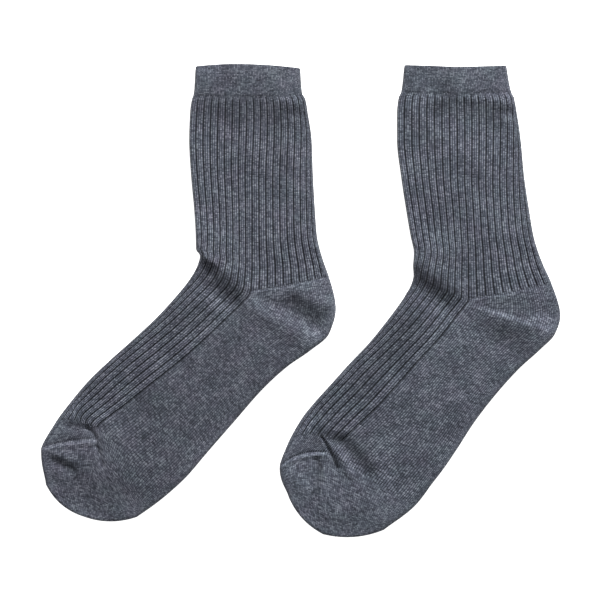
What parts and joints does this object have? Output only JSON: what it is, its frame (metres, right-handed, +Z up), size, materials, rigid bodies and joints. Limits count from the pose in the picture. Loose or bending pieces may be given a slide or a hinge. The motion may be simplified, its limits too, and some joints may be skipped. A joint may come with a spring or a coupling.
{
  "type": "pair of wool socks",
  "caption": "Pair of ribbed wool crew socks lying flat side by side, each with a plain cuff, a ribbed leg and instep, and a plain heel, sole and toe.",
  "frame": {"origin": "middle of the pair's footprint, on the surface that the socks lie on", "axes": "+Z up from that surface, +Y along the legs towards the cuffs, +X across the pair from the toes' side to the heels' side"},
  "size_m": [0.3637, 0.3311, 0.0067],
  "materials": {
    "cuff_knit": "matte heathered wool, plain knit",
    "rib_knit": "matte heathered wool, ribbed leg and instep, plain sole",
    "heel_knit": "matte heathered wool, plain knit",
    "toe_knit": "matte heathered wool, plain knit"
  },
  "bodies": {
    "root": {"sock_1_cuff": "cuff_knit", "sock_1_tube": "rib_knit", "sock_1_heel": "heel_knit", "sock_1_toe": "toe_knit", "sock_2_cuff": "cuff_knit", "sock_2_tube": "rib_knit", "sock_2_heel": "heel_knit", "sock_2_toe": "toe_knit"}
  },
  "joints": []
}
